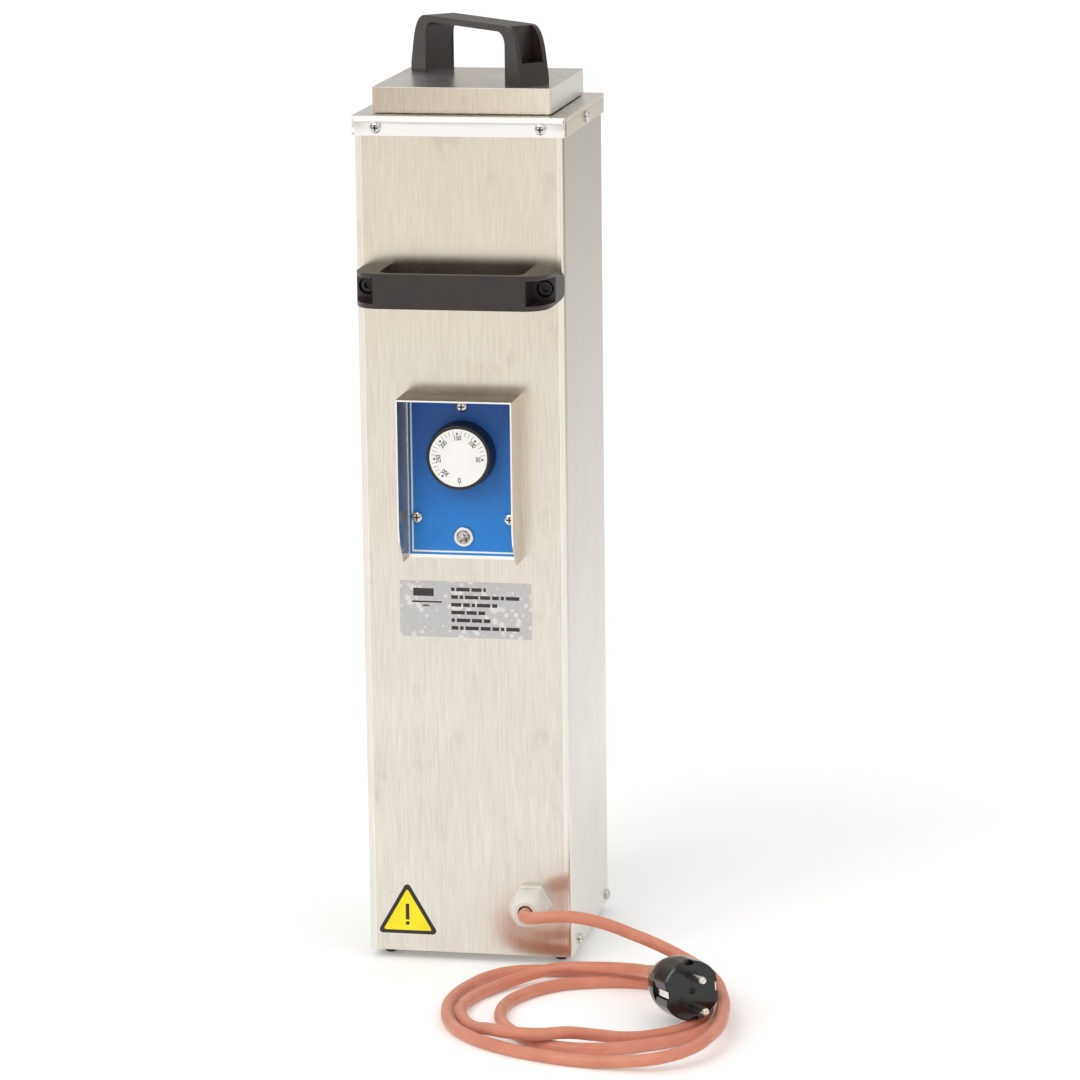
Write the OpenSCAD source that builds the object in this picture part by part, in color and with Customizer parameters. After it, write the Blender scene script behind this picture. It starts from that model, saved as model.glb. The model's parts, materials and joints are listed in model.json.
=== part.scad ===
// Portable drying oven for welding electrodes: a tall square steel column with a lift-off lid,
// a mains lead and a thermostat. Millimetres. +Z is up and the front faces -Y.
// The origin is on the floor, at the middle of the box around the oven without its lead.

/* [Casing] */
// Outside width and depth of the square casing
casing_w = 130; // [126:1:134]
// Height of the casing's top edge above the floor
casing_top = 533; // [520:1:560]
// Thickness of the steel sheet
sheet = 1; // [0.8:0.1:1.2]
// Outside radius of the casing's bent corners
bend_r = 2.5; // [2:0.5:4]
// Height of the rubber feet
foot_h = 6; // [5:0.5:8]
// Distance of the feet from the casing's middle planes
foot_at = 55; // [50:1:57]

/* [Collar and lid] */
// How far the collar's skirt stands out from the casing
collar_out = 1.5; // [1.3:0.1:2]
// Height of the collar's skirt
collar_h = 12; // [10:1:14]
// Width and depth of the lid
lid_w = 111; // [106:1:114]
// Height of the lid's skirt
lid_h = 15.4; // [14:0.2:18]

/* [Chamber] */
// Inside width and depth of the electrode chamber
chamber_w = 80; // [76:1:80]
// Distance of the chamber's axis behind the casing's axis
chamber_back = 9; // [8:0.5:9]
// Height of the chamber's floor above the surface
chamber_floor_z = 46; // [44:1:50]

/* [Handles] */
// Length of the front handle
front_handle_l = 129; // [126:1:129]
// Length of the lid's handle
lid_handle_l = 124; // [120:1:126]
// Height of both handles above their base
handle_h = 36; // [34:1:38]
// Width of both handles
handle_w = 21.4; // [20:0.2:23]
// Height of the front handle's axis above the floor
handle_z = 432; // [425:1:440]

/* [Controls] */
// Height of the thermostat's axis
knob_z = 326.5; // [322:0.5:330]
// Diameter of the knob at its base
knob_d = 42; // [41:0.5:43]
// Depth of the knob
knob_depth = 12.4; // [11:0.2:14]
// Width of the guard around the controls
guard_w = 72; // [70:1:76]
// How far the guard stands out
guard_depth = 28; // [24:1:30]
// Bottom and top of the guard
guard_z0 = 260.5; // [258:0.5:262]
guard_z1 = 364; // [362:0.5:368]
// Height of the pilot lamp
lamp_z = 274.6; // [272:0.2:277]

/* [Cable entry] */
// Place of the gland's axis to the right of the middle
gland_x = 39.3; // [36:0.1:42]
// Height of the gland's axis
gland_z = 40; // [38:0.5:42]
// Diameter of the cord
cord_d = 7.6; // [7.6:0.1:7.6]

/* [Hidden] */
$fn = 48;

half = casing_w / 2;
inner = half - sheet;
head_h = 2.5;
head_d = 7;
shank_d = 3.5;
clear = 0.1;

// The casing's axis stands behind the origin, because the front handle reaches further out
// than the screws at the back.
axis_y = (handle_h - collar_out - head_h) / 2;

collar_top = casing_top + sheet;
collar_z0 = collar_top - collar_h;
rest_gap = 1;
lid_z0 = collar_top + rest_gap;
lid_top = lid_z0 + lid_h;

chamber_half = chamber_w / 2;
tube_half = chamber_half + sheet;
chamber_front = tube_half - chamber_back;
flange = 6;

tray_h = 14;
tray_screw_z = foot_h + 5.5;
tray_screw_ys = [-42, 56];
collar_screw_x = 51;
collar_screw_z = collar_top - 7;
return_w = 14;
panel_screw_zs = [60, 190, 320, 450];

handle_flat = 94;
handle_wall = 3;
handle_bar = 4;
handle_inner = 44.6;
handle_round = 8;
front_end_r = 7;
lid_end_r = 1.5;
pocket_h = 14;
bore_seat_h = 8;
front_pitch = 110;
lid_pitch = 105;
lid_handle_turn = -45;

plate_t = 0.8;
plate_half = 34.2;
plate_z0 = 262.8;
plate_z1 = 362;
plate_front = half + sheet + plate_t;
plate_screws = [[0, 356.2], [-29.1, 286.2], [29.1, 286.2]];
thermostat_pitch = 28;

gland_reach = 21;
gland_af = 24;
gland_thread_r = 9.9;

label_t = 0.3;
label_box = [83.2, 35.4];
label_z = 227.7;
triangle_side = 39.6;
triangle_r = 2.2;
triangle_at = [-40.3, 28.4];

plug_at = [159.3, axis_y - 182.5, 26.5];
plug_turn = [-57, 6, 3];
plug_r = 18.3;
plug_flat = 16.8;
plug_len = 40;

// Route of the power cord's middle line, from the gland to the back of the plug: out of the
// gland, round to the right, down to the floor, then a coil of three loose loops.
cord_route = [
    [39.3, -86, 40], [39.3, -90, 40.2], [41.5, -98, 41.2], [48, -104.5, 43], [58, -107, 44.8],
    [72, -107, 45.6], [90, -104, 41.9], [111.5, -100.5, 33.5], [130, -101, 26.3],
    [149, -110, 20.2], [160, -122, 18], [167, -134, 16.5], [172, -149, 15], [176, -165, 14],
    [178, -182, 13.5], [179, -203, 13], [176, -224, 12.5], [168, -243, 11], [152, -255, 8.5],
    [130, -256, 5.5], [104, -254, 4], [80, -248, 3.8], [54, -237, 3.8], [30, -219, 3.8],
    [16, -200, 3.8], [8, -176, 3.8], [6, -148, 3.8], [12, -122, 3.8], [20, -104, 3.8],
    [31, -93, 3.8], [45, -88, 3.8], [62, -86, 3.8], [80, -81, 3.8], [95, -78, 3.8],
    [114, -78, 3.8], [134, -82, 3.8], [150, -92, 3.8], [162, -108, 3.8], [169, -127, 3.8],
    [172, -148, 3.8], [172, -170, 3.8], [166, -190, 3.8], [152, -208.5, 3.8], [137, -219.5, 3.8],
    [122, -228, 3.8], [106, -232, 3.8], [90, -232, 3.8], [73, -226, 3.8], [58, -211, 3.8],
    [47, -195, 3.8], [41, -176, 3.8], [41, -153, 3.8], [47, -137, 3.8], [57, -122, 3.8],
    [69, -112, 3.8], [84, -106, 3.8], [98, -102.5, 3.8], [115, -102, 3.8], [132, -105, 3.8],
    [146, -113, 3.8], [156, -125, 3.8], [162, -140, 3.8], [163, -158, 3.8], [160, -176, 3.8],
    [152, -190, 3.8], [140, -201, 3.8], [124, -210, 4.5], [108, -217, 7.5], [92, -226, 11.3],
    [75, -233, 11.8], [58, -232, 11.6], [43, -220, 9], [30, -204, 4.5], [20, -187, 3.8],
    [15, -167, 3.8], [18, -146, 3.8], [26, -128, 4], [36, -114, 5], [50, -105, 8],
    [66, -102, 11.2], [82, -101, 11.6], [96, -101, 12], [109, -106, 13.5], [119.5, -118, 16.7],
    [129, -134.5, 20.4], [137.4, -148.6, 22.3]
];

// Places that follow: a helper for each face of the casing, with local +Z pointing outwards.
module from_axis() translate([0, axis_y, 0]) children();
module on_front(x, z, out) from_axis() translate([x, -out, z]) rotate([90, 0, 0]) children();
module on_back(x, z, out) from_axis() translate([x, out, z]) rotate([-90, 0, 0]) children();
module on_right(y, z, out) from_axis() translate([out, y, z]) rotate([0, 90, 0]) children();
module on_left(y, z, out) from_axis() translate([-out, y, z]) rotate([0, -90, 0]) children();

module slab(x0, x1, y0, y1, z0, z1) translate([x0, y0, z0]) cube([x1 - x0, y1 - y0, z1 - z0]);

// A square ring of bent sheet with round corners, standing on z = 0.
module rounded_square(half_w, r) {
    if (r > 0) {
        square([2 * half_w, 2 * (half_w - r)], center = true);
        square([2 * (half_w - r), 2 * half_w], center = true);
        for (sx = [-1, 1], sy = [-1, 1]) translate([sx * (half_w - r), sy * (half_w - r)]) circle(r = r);
    }
}

// Pan-head screw: its head sits on z = 0 and its shank points down.
module pan_screw(length) {
    difference() {
        union() {
            rotate_extrude() polygon([[0, 0], [head_d / 2, 0], [head_d / 2, head_h * 0.5],
                [head_d * 0.42, head_h * 0.82], [head_d * 0.28, head_h], [0, head_h]]);
            translate([0, 0, -length]) cylinder(d = shank_d, h = length + 0.01);
        }
        for (turn = [0, 90]) rotate(turn) translate([-2, -0.45, head_h - 1.3]) cube([4, 0.9, 2]);
    }
}

// Socket-head screw: its head sits on z = 0 and its shank points down.
module cap_screw(length) {
    difference() {
        union() {
            cylinder(d = 8.5, h = 5);
            translate([0, 0, -length]) cylinder(d = 5, h = length + 0.01);
        }
        translate([0, 0, 2.4]) cylinder(d = 4.6, h = 3, $fn = 6);
    }
}

module hex_nut(af, bore_d, h) {
    difference() {
        cylinder(d = af / cos(30), h = h, $fn = 6);
        translate([0, 0, -1]) cylinder(d = bore_d, h = h + 2);
    }
}

// Vector helpers and a smooth curve through a list of points.
function curve_point(p, i, t) =
    let (a = p[max(i - 1, 0)], b = p[i], c = p[i + 1], d = p[min(i + 2, len(p) - 1)])
    0.5 * (2 * b + (c - a) * t + (2 * a - 5 * b + 4 * c - d) * t * t + (3 * b - a - 3 * c + d) * t * t * t);
function smooth_path(p, steps) = [
    for (i = [0 : len(p) - 2], s = [0 : steps - 1]) curve_point(p, i, s / steps), p[len(p) - 1]];
function unit(v) = v / norm(v);
function heading(p, i) = unit(p[min(i + 1, len(p) - 1)] - p[max(i - 1, 0)]);

// A round tube along a path: the ring's side vector is carried from one ring to the next.
function side_vectors(p, i = 0, last = [0.2, 0.3, 1], out = []) =
    i == len(p) ? out :
    let (h = heading(p, i), s = unit(last - (last * h) * h)) side_vectors(p, i + 1, s, concat(out, [s]));
module tube_along(p, d, sides) {
    ups = side_vectors(p);
    rings = [for (i = [0 : len(p) - 1])
        let (h = heading(p, i), u = ups[i], v = cross(h, u))
        for (k = [0 : sides - 1]) p[i] + d / 2 * (cos(k * 360 / sides) * u + sin(k * 360 / sides) * v)];
    n = len(p);
    walls = [for (i = [0 : n - 2], k = [0 : sides - 1])
        let (next = (k + 1) % sides)
        [i * sides + k, i * sides + next, (i + 1) * sides + next, (i + 1) * sides + k]];
    ends = [[for (k = [sides - 1 : -1 : 0]) k], [for (k = [0 : sides - 1]) (n - 1) * sides + k]];
    polyhedron(points = rings,
        faces = [for (f = concat(walls, ends)) [for (j = [len(f) - 1 : -1 : 0]) f[j]]]);
}

// ---- Steel casing ----

module casing() {
    wall_top = casing_top - foot_h;
    color("silver") difference() {
        from_axis() translate([0, 0, foot_h]) linear_extrude(wall_top) difference() {
            rounded_square(half, bend_r);
            rounded_square(inner, bend_r - sheet);
            translate([-(half - return_w), inner - 1]) square([2 * (half - return_w), sheet + 5]);
        }
        for (y = tray_screw_ys, s = [0, 1]) {
            if (s == 0) on_right(y, tray_screw_z, inner - 2) cylinder(d = shank_d + clear, h = 5);
            else on_left(y, tray_screw_z, inner - 2) cylinder(d = shank_d + clear, h = 5);
        }
        for (x = [-collar_screw_x, collar_screw_x]) {
            on_front(x, collar_screw_z, inner - 2) cylinder(d = shank_d + clear, h = 5);
        }
        on_right(0, collar_screw_z, inner - 2) cylinder(d = shank_d + clear, h = 5);
        on_left(0, collar_screw_z, inner - 2) cylinder(d = shank_d + clear, h = 5);
        for (x = [-1, 1] * (half - return_w / 2), z = panel_screw_zs) {
            on_back(x, z, inner - 2) cylinder(d = shank_d + clear, h = 5);
        }
        for (x = [-1, 1] * (half - return_w)) {
            on_back(x, collar_screw_z, inner - 2) cylinder(d = shank_d + clear, h = 5);
        }
        for (x = [-1, 1] * front_pitch / 2) on_front(x, handle_z, inner - 2) cylinder(d = 5.4, h = 5);
        for (p = plate_screws) on_front(p[0], p[1], inner - 2) cylinder(d = shank_d + clear, h = 5);
        on_front(0, knob_z, inner - 2) cylinder(d = 11, h = 5);
        for (x = [-1, 1] * thermostat_pitch / 2) {
            on_front(x, knob_z, inner - 2) cylinder(d = shank_d + clear, h = 5);
        }
        on_front(0, lamp_z, inner - 2) cylinder(d = 10.2, h = 5);
        on_front(gland_x, gland_z, inner - 2) cylinder(r = gland_thread_r + clear, h = 5);
    }
}

module back_panel() {
    color("silver") difference() {
        from_axis() slab(-(half - 2), half - 2, half, half + sheet, foot_h, collar_z0 - 0.4);
        for (x = [-1, 1] * (half - return_w / 2), z = panel_screw_zs) {
            on_back(x, z, half - 1) cylinder(d = shank_d + clear, h = 4);
        }
    }
}

module back_panel_screws() {
    color("gainsboro") for (x = [-1, 1] * (half - return_w / 2), z = panel_screw_zs) {
        on_back(x, z, half + sheet) pan_screw(6);
    }
}

module base_tray() {
    out = inner - 0.15;
    color("silver") difference() {
        from_axis() translate([0, 0, foot_h]) difference() {
            linear_extrude(tray_h) rounded_square(out, 1.2);
            translate([0, 0, sheet]) linear_extrude(tray_h) rounded_square(out - sheet, 0.2);
        }
        for (y = tray_screw_ys) {
            on_right(y, tray_screw_z, inner - 3) cylinder(d = shank_d + clear, h = 5);
            on_left(y, tray_screw_z, inner - 3) cylinder(d = shank_d + clear, h = 5);
        }
    }
}

module base_screws() {
    color("gainsboro") for (y = tray_screw_ys) {
        on_right(y, tray_screw_z, half) pan_screw(7);
        on_left(y, tray_screw_z, half) pan_screw(7);
    }
}

// Domed rubber bumpers with a small flat underneath.
module feet() {
    flat_r = 2;
    foot_r = 5;
    color("black") from_axis() for (x = [-foot_at, foot_at], y = [6 - foot_at, foot_at - 6]) {
        translate([x, y, 0]) rotate_extrude() polygon(concat([[0, 0]],
            [for (a = [0 : 15 : 90]) [flat_r + (foot_r - flat_r) * sin(a), (foot_h - 1) * (1 - cos(a))]],
            [[foot_r, foot_h], [0, foot_h]]));
    }
}

module top_collar() {
    out = half + collar_out;
    color("gainsboro") difference() {
        from_axis() translate([0, 0, collar_z0]) difference() {
            linear_extrude(collar_h) rounded_square(out, 2);
            translate([0, 0, -1]) linear_extrude(collar_h - sheet + 1) rounded_square(out - sheet, 1);
            translate([-chamber_half, chamber_back - chamber_half, 0]) cube([chamber_w, chamber_w, 40]);
        }
        for (x = [-collar_screw_x, collar_screw_x]) {
            on_front(x, collar_screw_z, half - 1) cylinder(d = shank_d + clear, h = 5);
            on_back(x, collar_screw_z, half - 1) cylinder(d = shank_d + clear, h = 5);
        }
        on_right(0, collar_screw_z, half - 1) cylinder(d = shank_d + clear, h = 5);
        on_left(0, collar_screw_z, half - 1) cylinder(d = shank_d + clear, h = 5);
    }
}

module collar_screws() {
    out = half + collar_out;
    color("gainsboro") {
        for (x = [-collar_screw_x, collar_screw_x]) {
            on_front(x, collar_screw_z, out) pan_screw(6);
            on_back(x, collar_screw_z, out) pan_screw(6);
        }
        on_right(0, collar_screw_z, out) pan_screw(6);
        on_left(0, collar_screw_z, out) pan_screw(6);
    }
}

// ---- Electrode chamber, heating and insulation ----

module chamber_tube() {
    color("lightgray") from_axis() translate([0, chamber_back, 0]) difference() {
        union() {
            translate([-tube_half, -tube_half, chamber_floor_z - sheet]) {
                cube([2 * tube_half, 2 * tube_half, casing_top - chamber_floor_z + sheet]);
            }
            translate([-tube_half - flange, -tube_half - flange, casing_top - sheet]) {
                cube([2 * (tube_half + flange), 2 * (tube_half + flange), sheet]);
            }
        }
        translate([-chamber_half, -chamber_half, 0]) cube([chamber_w, chamber_w, 1000]);
    }
}

module chamber_floor() {
    side = chamber_half - 0.1;
    color("lightgray") from_axis() translate([0, chamber_back, 0]) {
        slab(-side, side, -side, side, chamber_floor_z - sheet, chamber_floor_z);
    }
}

heater_t = 3;
heater_z0 = 80;
heater_z1 = 400;
slab_top = collar_screw_z - 6;
side_in = tube_half + heater_t + 1.4;
front_slab_back = chamber_front + 8;

module insulation_left() {
    color("khaki") from_axis() slab(-inner + 0.5, -side_in, -chamber_front, tube_half + chamber_back,
        chamber_floor_z, slab_top);
}

module insulation_right() {
    color("khaki") from_axis() slab(side_in, inner - 0.5, -chamber_front, tube_half + chamber_back,
        chamber_floor_z, slab_top);
}

module insulation_back() {
    color("khaki") from_axis() slab(-half + return_w + 2, half - return_w - 2,
        tube_half + chamber_back + 0.5, inner - 0.5, chamber_floor_z, slab_top);
}

module insulation_front_lower() {
    color("khaki") from_axis() slab(-38, 34, -inner + 0.5, -front_slab_back, 64, guard_z0 - 24);
}

module insulation_front_upper() {
    color("khaki") from_axis() slab(-40, 40, -inner + 0.5, -chamber_front - 0.5, guard_z1 + 8, slab_top);
}

module insulation_base() {
    color("khaki") from_axis() slab(-tube_half, tube_half, chamber_back - tube_half,
        chamber_back + tube_half, chamber_floor_z - 15, chamber_floor_z - sheet - 0.2);
}

module heater_plates() {
    color("darkkhaki") from_axis() for (s = [-1, 1]) {
        translate([s * (tube_half + heater_t / 2), chamber_back, (heater_z0 + heater_z1) / 2]) {
            cube([heater_t, 60, heater_z1 - heater_z0], center = true);
        }
    }
}

module heater_straps() {
    color("silver") from_axis() for (s = [-1, 1], z = [120, 240, 360]) {
        translate([s * (tube_half + heater_t + 0.5), chamber_back, z]) cube([0.9, 76, 12], center = true);
    }
}

module heat_shield() {
    color("silver") from_axis() slab(-36, 36, -chamber_front - 3, -chamber_front - 2,
        guard_z0 - 4, guard_z1 + 4);
}

// ---- Thermostat and controls ----

module thermostat_body() {
    depth = 25;
    color("whitesmoke") difference() {
        union() {
            from_axis() slab(-19, 19, -inner, -inner + depth, knob_z - 24, knob_z + 24);
            on_front(0, knob_z, inner - 0.01) cylinder(d = 10, h = 1.5);
        }
        on_front(0, knob_z, inner - 12) cylinder(d = 6.1, h = 20);
        for (x = [-1, 1] * thermostat_pitch / 2) {
            on_front(x, knob_z, inner - 8) cylinder(d = shank_d + clear, h = 20);
        }
    }
}

module thermostat_screws() {
    color("gainsboro") for (x = [-1, 1] * thermostat_pitch / 2) {
        on_front(x, knob_z, plate_front) pan_screw(9);
    }
}

module thermostat_shaft() {
    color("silver") on_front(0, knob_z, inner - 11.8) cylinder(d = 6, h = 11.8 + knob_depth + 0.5);
}

knob_gap = 0.6;
module knob() {
    r = knob_d / 2;
    face_r = r - 0.9;
    edge = 0.8;
    color([0.1, 0.1, 0.1]) on_front(0, knob_z, plate_front + knob_gap) difference() {
        rotate_extrude() polygon(concat([[0, 0], [r, 0]],
            [for (a = [0 : 30 : 90]) [face_r - edge + edge * cos(a), knob_depth - edge + edge * sin(a)]],
            [[0, knob_depth]]));
        difference() {
            translate([0, 0, -1]) cylinder(r = r - 2.4, h = 6);
            translate([0, 0, -2]) cylinder(r = 6, h = 10);
        }
        translate([0, 0, -1]) cylinder(d = 6, h = knob_depth - 1.5);
    }
}

module dial_disc() {
    color("white") on_front(0, knob_z, plate_front + knob_gap + knob_depth) cylinder(r = 18, h = 0.4);
}

module capillary_tube() {
    y0 = -inner + 23;
    y1 = -chamber_front - 4;
    route = [for (p = [[-12, y0, knob_z - 24], [-12, y0, knob_z - 32], [-13, y0 - 1, guard_z0 + 20],
        [-15, y0 - 1, guard_z0], [-20, y1 - 2, 240], [-25, y1, 225], [-25, y1, 212]]) p + [0, axis_y, 0]];
    color("peru") tube_along(smooth_path(route, 3), 1.6, 8);
}

bulb_z0 = 120;
bulb_z1 = 212;
module thermostat_bulb() {
    color("peru") from_axis() translate([-25, -chamber_front - 4, bulb_z0]) {
        cylinder(d = 6, h = bulb_z1 - bulb_z0);
    }
}

// Saddle clips that hold the sensing bulb against the chamber.
module bulb_clips() {
    color("silver") from_axis() for (z = [135, 195]) translate([-25, -chamber_front - 4, z]) difference() {
        union() {
            cylinder(r = 3.9, h = 8);
            translate([-10, 3, 0]) cube([20, 0.9, 8]);
        }
        translate([0, 0, -1]) cylinder(r = 3.1, h = 10);
        translate([-3.1, 0, -1]) cube([6.2, 5, 10]);
    }
}

// Folded hood: a back plate, a top and two sides whose front edges draw in at the bottom.
module control_guard() {
    w = guard_w / 2;
    taper_z = guard_z0 + 18;
    foot_depth = 16;
    color("silver") difference() {
        from_axis() union() {
            slab(-w, w, -half - sheet, -half, guard_z0, guard_z1);
            slab(-w, w, -half - guard_depth, -half, guard_z1 - sheet, guard_z1);
            for (x = [-w + sheet, w]) translate([x, -half, 0]) rotate([90, 0, -90]) linear_extrude(sheet) {
                polygon([[0, guard_z0], [foot_depth, guard_z0], [guard_depth - 2, taper_z - 4],
                    [guard_depth, taper_z + 6], [guard_depth, guard_z1], [0, guard_z1]]);
            }
        }
        for (p = plate_screws) on_front(p[0], p[1], half - 1) cylinder(d = shank_d + clear, h = 4);
        on_front(0, knob_z, half - 1) cylinder(d = 11, h = 4);
        for (x = [-1, 1] * thermostat_pitch / 2) {
            on_front(x, knob_z, half - 1) cylinder(d = shank_d + clear, h = 4);
        }
        on_front(0, lamp_z, half - 1) cylinder(d = 10.2, h = 4);
    }
}

module control_plate() {
    front = half + sheet;
    color("royalblue") difference() {
        from_axis() slab(-plate_half, plate_half, -front - plate_t, -front, plate_z0, plate_z1);
        for (p = plate_screws) on_front(p[0], p[1], front - 1) cylinder(d = shank_d + clear, h = 4);
        on_front(0, knob_z, front - 1) cylinder(d = 11, h = 4);
        for (x = [-1, 1] * thermostat_pitch / 2) {
            on_front(x, knob_z, front - 1) cylinder(d = shank_d + clear, h = 4);
        }
        on_front(0, lamp_z, front - 1) cylinder(d = 10.2, h = 4);
    }
}

module panel_screws() {
    color("gainsboro") for (p = plate_screws) on_front(p[0], p[1], plate_front) pan_screw(8);
}

module lamp_housing() {
    color([0.85, 0.85, 0.85]) on_front(0, lamp_z, plate_front) difference() {
        union() {
            translate([0, 0, -24]) cylinder(d = 10, h = 24.01);
            rotate_extrude() polygon([[0, 0], [6.4, 0], [6.4, 1], [5.8, 1.8], [0, 1.8]]);
        }
        translate([0, 0, -20]) cylinder(d = 8.2, h = 30);
    }
}

module lamp_lens() {
    lens_r = 4.05;
    color([0.9, 0.9, 0.88, 0.6]) on_front(0, lamp_z, plate_front) rotate_extrude() {
        polygon(concat([[0, -6], [lens_r, -6]],
            [for (a = [0 : 15 : 90]) [lens_r * cos(a), 1.8 + 1.6 * sin(a)]]));
    }
}

module lamp_nut() {
    color("whitesmoke") on_front(0, lamp_z, inner - 3) hex_nut(14, 10.1, 2.8);
}

// ---- Handles ----

// Bridge handle along X on its base plane: arched ends with an open screw pocket in each.
module bridge_handle(length, pitch, end_r) {
    end_x = length / 2;
    low = [end_x - 4, 19];
    mid = [end_x - 7.5, handle_h];
    high = [handle_flat / 2 - 3, handle_h];
    arch = [for (i = [0 : 8])
        let (t = i / 8) (1 - t) * (1 - t) * low + 2 * t * (1 - t) * mid + t * t * high];
    outer = concat([[end_x, 0]], arch);
    inner_top = handle_h - handle_bar;
    arc_at = [handle_inner - handle_round, inner_top - handle_round];
    inner_arc = [for (i = [0 : 6]) arc_at + handle_round * [cos(i * 15), sin(i * 15)]];
    side_outline = concat(outer, [for (p = [for (i = [8 : -1 : 0]) arch[i]]) [-p[0], p[1]]], [[-end_x, 0]],
        [[-handle_inner, 0]], [for (i = [0 : 6]) [-inner_arc[i][0], inner_arc[i][1]]],
        [for (i = [6 : -1 : 0]) inner_arc[i]], [[handle_inner, 0]]);
    difference() {
        intersection() {
            rotate([90, 0, 0]) linear_extrude(handle_w, center = true) polygon(side_outline);
            union() {
                translate([0, 0, handle_h / 2]) {
                    cube([length - 2 * end_r, handle_w, handle_h + 2], center = true);
                    cube([length, handle_w - 2 * end_r, handle_h + 2], center = true);
                }
                for (sx = [-1, 1], sy = [-1, 1]) {
                    translate([sx * (end_x - end_r), sy * (handle_w / 2 - end_r), -1]) {
                        cylinder(r = end_r, h = handle_h + 2);
                    }
                }
            }
        }
        for (s = [-1, 1]) {
            translate([s * (handle_flat / 2 + 20), 0, pocket_h + 20]) {
                cube([40, handle_w - 2 * handle_wall, 40], center = true);
            }
            translate([s * pitch / 2, 0, bore_seat_h]) cylinder(d = 10.8, h = 20);
            translate([s * pitch / 2, 0, -1]) cylinder(d = 5.4, h = 20);
        }
    }
}

module front_handle() {
    color([0.24, 0.22, 0.21]) on_front(0, handle_z, half) bridge_handle(front_handle_l, front_pitch, front_end_r);
}

module front_handle_screws() {
    color([0.15, 0.15, 0.15]) on_front(0, handle_z, half) for (s = [-1, 1]) {
        translate([s * front_pitch / 2, 0, bore_seat_h]) cap_screw(14);
    }
}

module front_handle_nuts() {
    color("silver") on_front(0, handle_z, inner) for (s = [-1, 1]) {
        translate([s * front_pitch / 2, 0, -4.2]) hex_nut(8, 5.1, 4);
    }
}

module on_lid() from_axis() translate([0, 0, lid_top]) rotate(lid_handle_turn) children();

module lid_handle() {
    color([0.24, 0.22, 0.21]) on_lid() bridge_handle(lid_handle_l, lid_pitch, lid_end_r);
}

module lid_handle_screws() {
    color([0.15, 0.15, 0.15]) on_lid() for (s = [-1, 1]) {
        translate([s * lid_pitch / 2, 0, bore_seat_h]) cap_screw(14);
    }
}

module lid_handle_nuts() {
    color("silver") on_lid() for (s = [-1, 1]) {
        translate([s * lid_pitch / 2, 0, -sheet - 4.2]) hex_nut(8, 5.1, 4);
    }
}

// ---- Lid ----

module lid_pan() {
    w = lid_w / 2;
    color("gainsboro") difference() {
        from_axis() translate([0, 0, lid_z0]) difference() {
            linear_extrude(lid_h) rounded_square(w, 1.5);
            translate([0, 0, -1]) linear_extrude(lid_h - sheet + 1) rounded_square(w - sheet, 0.5);
        }
        on_lid() for (s = [-1, 1]) translate([s * lid_pitch / 2, 0, -5]) cylinder(d = 5.4, h = 10);
    }
}

inner_pan_half = chamber_half - 1.5;
inner_pan_depth = 14;
module lid_inner_pan() {
    w = lid_w / 2 - 2.5;
    color("lightgray") from_axis() difference() {
        union() {
            slab(-w, w, -w, w, collar_top, lid_z0);
            translate([0, chamber_back, 0]) slab(-inner_pan_half, inner_pan_half, -inner_pan_half,
                inner_pan_half, collar_top - inner_pan_depth, lid_z0);
        }
        translate([0, chamber_back, 0]) slab(-inner_pan_half + sheet, inner_pan_half - sheet,
            -inner_pan_half + sheet, inner_pan_half - sheet,
            collar_top - inner_pan_depth + sheet, lid_z0 + 5);
    }
}

module lid_insulation() {
    reach = inner_pan_half - sheet - 0.5;
    color("khaki") from_axis() translate([0, chamber_back, 0]) {
        slab(-reach, reach, -reach, reach, collar_top - inner_pan_depth + sheet + 0.2, lid_top - 8);
    }
}

// ---- Cable entry and wiring ----

module gland_body() {
    color("whitesmoke") on_front(gland_x, gland_z, half) difference() {
        union() {
            cylinder(d = gland_af / cos(30), h = 5, $fn = 6);
            translate([0, 0, -9]) cylinder(r = gland_thread_r, h = 9.01);
            translate([0, 0, 4.99]) cylinder(d = 18, h = 5);
        }
        translate([0, 0, -12]) cylinder(d = 11, h = 30);
    }
}

module gland_nut() {
    color("whitesmoke") on_front(gland_x, gland_z, half) difference() {
        union() {
            translate([0, 0, 5.3]) cylinder(d = 22 / cos(30), h = 8, $fn = 6);
            rotate_extrude() polygon([[0, 13.2], [11, 13.2], [10.2, gland_reach - 4], [8.4, gland_reach - 1],
                [7, gland_reach], [0, gland_reach]]);
        }
        translate([0, 0, 4]) cylinder(d = 18.2, h = 6.2);
        translate([0, 0, 10]) cylinder(d = 14, h = 6);
        translate([0, 0, 3]) cylinder(d = 9.8, h = 30);
    }
}

module gland_seal() {
    color("dimgray") on_front(gland_x, gland_z, half) translate([0, 0, 10.4]) difference() {
        cylinder(d = 13.6, h = 5.2);
        translate([0, 0, -1]) cylinder(d = cord_d + 0.1, h = 8);
    }
}

module gland_locknut() {
    color("whitesmoke") on_front(gland_x, gland_z, inner - 5) hex_nut(25, 2 * gland_thread_r + 0.1, 4.8);
}

// The lead's own tail inside the gland and the casing.
module cable_tail() {
    route = [for (p = [[gland_x, -86, gland_z], [gland_x, -74, gland_z], [gland_x, -62, gland_z],
        [gland_x, -52, gland_z - 0.5], [gland_x - 3, -46, gland_z - 4],
        [gland_x - 8, -42, gland_z - 9]]) p + [0, axis_y, 0]];
    color("salmon") tube_along(route, cord_d, 12);
}

module terminal_block() {
    color("whitesmoke") from_axis() difference() {
        slab(-6, 30, -24, -8, foot_h + sheet + 0.1, 22);
        for (x = [0, 12, 24]) translate([x, -16, 12]) cylinder(d = 4, h = 20);
    }
}

module earth_stud() {
    color("goldenrod") from_axis() translate([48, -20, foot_h + sheet + 0.1]) {
        cylinder(d = 4, h = 12);
        cylinder(d = 8, h = 3, $fn = 6);
    }
}

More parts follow.
